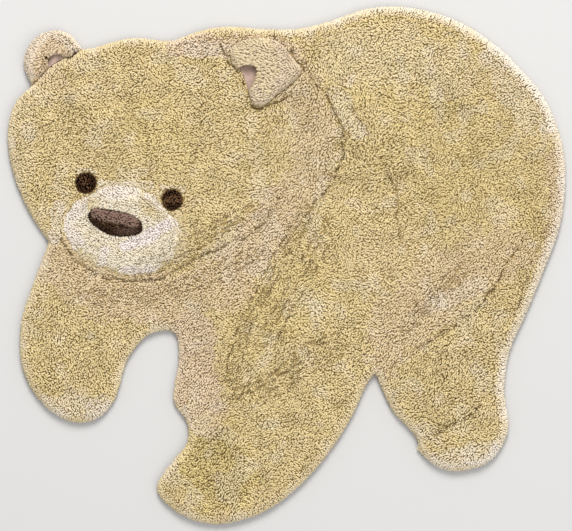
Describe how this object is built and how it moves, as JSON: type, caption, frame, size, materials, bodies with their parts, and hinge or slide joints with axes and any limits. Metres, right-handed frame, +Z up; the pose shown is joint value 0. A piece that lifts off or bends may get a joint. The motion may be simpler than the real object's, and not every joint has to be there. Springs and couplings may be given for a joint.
{
  "type": "bear shaped kids rug",
  "caption": "Tufted cotton floor rug cut in the outline of a walking bear seen from its side, with raised ears, muzzle, nose and eyes.",
  "frame": {"origin": "on the floor, under the middle of the rug's box", "axes": "+X from the face to the rump, +Y from the paws to the back, +Z up out of the floor"},
  "size_m": [1.2, 1.1134, 0.041],
  "materials": {
    "honey_pile": "cut cotton pile, matt",
    "blush_pile": "short cut cotton pile, matt",
    "cream_pile": "cut cotton pile, matt",
    "mauve_felt": "smooth felt, matt",
    "nose_pile": "short cut cotton pile, matt",
    "dark_pile": "short cut cotton pile, matt"
  },
  "bodies": {
    "root": {"rug": "honey_pile", "ear_left": "blush_pile", "ear_left_lining": "mauve_felt", "ear_right": "cream_pile", "ear_right_lining": "mauve_felt", "muzzle": "cream_pile", "nose": "nose_pile", "eye_left": "dark_pile", "eye_right": "dark_pile"}
  },
  "joints": []
}
